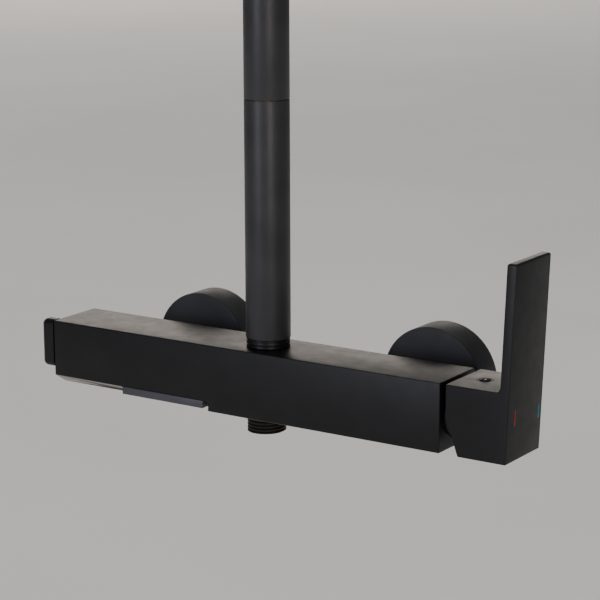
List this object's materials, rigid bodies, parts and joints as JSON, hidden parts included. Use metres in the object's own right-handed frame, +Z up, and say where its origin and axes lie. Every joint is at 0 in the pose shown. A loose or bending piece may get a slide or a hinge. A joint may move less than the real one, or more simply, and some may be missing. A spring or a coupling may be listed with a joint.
{
  "type": "wall mounted bath and shower mixer",
  "caption": "Black square-bar wall mixer with a side lever handle, a diverter knob, a riser pipe, a hose outlet and a low cascade outlet.",
  "frame": {"origin": "in the finished wall plane, midway between the two inlets, level with the bar's axis", "axes": "+X along the bar towards the lever handle, +Y into the wall, +Z up along the riser pipe"},
  "size_m": [0.2991, 0.088, 0.2439],
  "materials": {
    "matte_black": "satin matt black coating on brass",
    "brass": "raw machined",
    "steel": "stainless, machined",
    "ceramic": "lapped alumina ceramic",
    "white_plastic": "moulded acetal",
    "grey_plastic": "dark grey moulded plastic",
    "rubber": "nitrile",
    "indicator": "moulded two-colour indicator"
  },
  "bodies": {
    "mixer_body": {"body_casting": "matte_black", "cartridge_base_seal": "rubber", "cartridge_housing": "white_plastic", "fixed_ceramic_disc": "ceramic", "cartridge_nut": "brass", "dome_cap": "matte_black", "diverter_housing": "white_plastic", "diverter_fixed_disc": "ceramic", "diverter_nut": "brass", "riser_spigot": "matte_black", "riser_seal_1": "rubber", "riser_seal_2": "rubber", "riser_pipe_lower": "matte_black", "riser_joint_sleeve": "brass", "riser_pipe_upper": "matte_black", "riser_grub_screw": "steel", "hose_outlet_nipple": "matte_black", "hose_outlet_seal": "rubber", "cascade_nozzle": "grey_plastic", "nozzle_gasket": "rubber", "cascade_strainer": "steel", "nozzle_screw_1": "steel", "nozzle_screw_2": "steel", "hot_inlet_nipple": "matte_black", "hot_inlet_washer": "rubber", "hot_union_nut": "brass", "hot_eccentric_union": "brass", "hot_escutcheon": "matte_black", "hot_check_valve_housing": "white_plastic", "hot_check_valve_spring": "steel", "cold_inlet_nipple": "matte_black", "cold_inlet_washer": "rubber", "cold_union_nut": "brass", "cold_eccentric_union": "brass", "cold_escutcheon": "matte_black", "cold_check_valve_housing": "white_plastic", "cold_check_valve_spring": "steel"},
    "temperature_turret": {"cartridge_turret": "white_plastic", "lever_pivot_pin": "steel"},
    "lever": {"lever_handle": "matte_black", "lever_stem": "steel", "handle_grub_screw": "steel", "indicator_plug": "indicator"},
    "ceramic_slider": {"moving_ceramic_disc": "ceramic", "disc_carrier": "white_plastic"},
    "diverter_control": {"diverter_knob": "matte_black", "diverter_spindle": "brass", "diverter_spindle_seal": "rubber", "diverter_moving_disc": "ceramic", "knob_grub_screw": "steel"},
    "hot_poppet": {"hot_check_valve_poppet": "white_plastic"},
    "cold_poppet": {"cold_check_valve_poppet": "white_plastic"}
  },
  "joints": [
    {"name": "temperature_turn", "type": "hinge", "parent": "mixer_body", "child": "temperature_turret", "pos_m": [0.11, -0.058, 0], "axis": [1, 0, 0], "range_deg": [-25, 50]},
    {"name": "handle_lift", "type": "hinge", "parent": "temperature_turret", "child": "lever", "pos_m": [0.11, -0.058, 0], "axis": [0, 1, 0], "range_deg": [0, 20]},
    {"name": "disc_slide", "type": "slide", "parent": "temperature_turret", "child": "ceramic_slider", "axis": [0, 0, 1], "range_m": [0, 0.0035]},
    {"name": "diverter_turn", "type": "hinge", "parent": "mixer_body", "child": "diverter_control", "pos_m": [-0.135, -0.0625, 0.00475], "axis": [1, 0, 0], "range_deg": [-60, 60]},
    {"name": "hot_valve_slide", "type": "slide", "parent": "mixer_body", "child": "hot_poppet", "axis": [0, -1, 0], "range_m": [0, 0.0025], "stiffness_N_per_m": 100, "springref_m": -0.002, "deforming": ["hot_check_valve_spring"]},
    {"name": "cold_valve_slide", "type": "slide", "parent": "mixer_body", "child": "cold_poppet", "axis": [0, -1, 0], "range_m": [0, 0.0025], "stiffness_N_per_m": 100, "springref_m": -0.002, "deforming": ["cold_check_valve_spring"]}
  ],
  "couplings": [
    {"joint": "disc_slide", "follows": "handle_lift", "m_per_rad": 0.0098}
  ]
}
